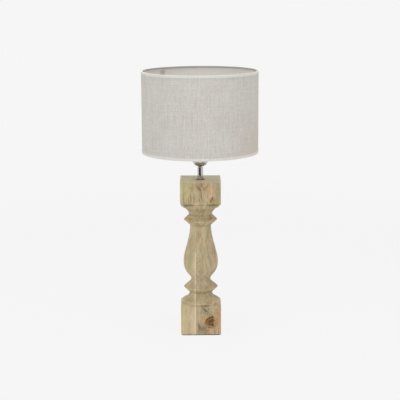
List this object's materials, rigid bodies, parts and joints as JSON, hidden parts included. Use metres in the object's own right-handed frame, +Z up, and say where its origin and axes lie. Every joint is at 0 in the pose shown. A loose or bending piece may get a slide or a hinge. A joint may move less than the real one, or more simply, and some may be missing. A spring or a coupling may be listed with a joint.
{
  "type": "wooden table lamp",
  "caption": "Wooden table lamp: a baluster turned between square blocks carries a screw lampholder and a cylindrical linen drum shade.",
  "frame": {"origin": "middle of the underside of the base felt, on the table", "axes": "+Z up along the lamp's axis, front of the base faces -Y, cord inlet at the back on +Y"},
  "size_m": [0.3012, 0.3012, 0.69],
  "materials": {
    "wood": "pale tan wood, sanded and oiled thin",
    "felt": "dark felt",
    "zinc_steel": "zinc plated",
    "chrome": "polished plating",
    "black_plastic": "moulded",
    "ceramic": "glazed white",
    "brass": "stamped",
    "linen": "slubbed plain weave",
    "hem_tape": "folded linen tape",
    "liner": "translucent film",
    "white_wire": "white powder coat",
    "white_plastic": "moulded",
    "opal_glass": "frosted inside",
    "nickel": "rolled thread",
    "dark_glass": "fused",
    "solder": "dull drop"
  },
  "bodies": {
    "lamp_base": {"foot_block": "wood", "baluster": "wood", "base_felt": "felt", "threaded_rod": "zinc_steel", "bottom_washer": "zinc_steel", "bottom_nut": "zinc_steel", "top_washer": "zinc_steel", "top_nut": "zinc_steel", "cord_bushing": "black_plastic", "neck_tube": "chrome", "holder_cap": "chrome", "cap_nut": "zinc_steel", "holder_shell": "chrome", "holder_core": "ceramic", "contact_sleeve": "brass", "centre_contact": "brass", "terminal_screws": "brass"},
    "shade": {"shade_linen": "linen", "shade_liner": "liner", "seam_tape": "hem_tape", "top_hem": "hem_tape", "bottom_hem": "hem_tape", "top_hoop": "white_wire", "bottom_hoop": "white_wire", "fitter_ring": "white_wire", "spider_arms": "white_wire"},
    "shade_ring": {"shade_ring": "white_plastic"},
    "bulb_tip": {"bulb_contact": "solder"},
    "bulb": {"bulb_globe": "opal_glass", "bulb_cap": "nickel", "bulb_insulator": "dark_glass"}
  },
  "joints": [
    {"name": "shade_turn", "type": "hinge", "parent": "lamp_base", "child": "shade", "pos_m": [0, 0, 0.4885], "axis": [0, 0, 1], "continuous": true},
    {"name": "ring_turn", "type": "hinge", "parent": "lamp_base", "child": "shade_ring", "pos_m": [0, 0, 0.494], "axis": [0, 0, 1], "range_deg": [0, 720]},
    {"name": "bulb_rise", "type": "slide", "parent": "lamp_base", "child": "bulb_tip", "axis": [0, 0, 1], "range_m": [0, 0.0182]},
    {"name": "bulb_turn", "type": "hinge", "parent": "bulb_tip", "child": "bulb", "pos_m": [0, 0, 0.5], "axis": [0, 0, 1], "range_deg": [0, 1800]}
  ],
  "couplings": [
    {"joint": "bulb_rise", "follows": "bulb_turn", "m_per_rad": 0.00057773}
  ]
}
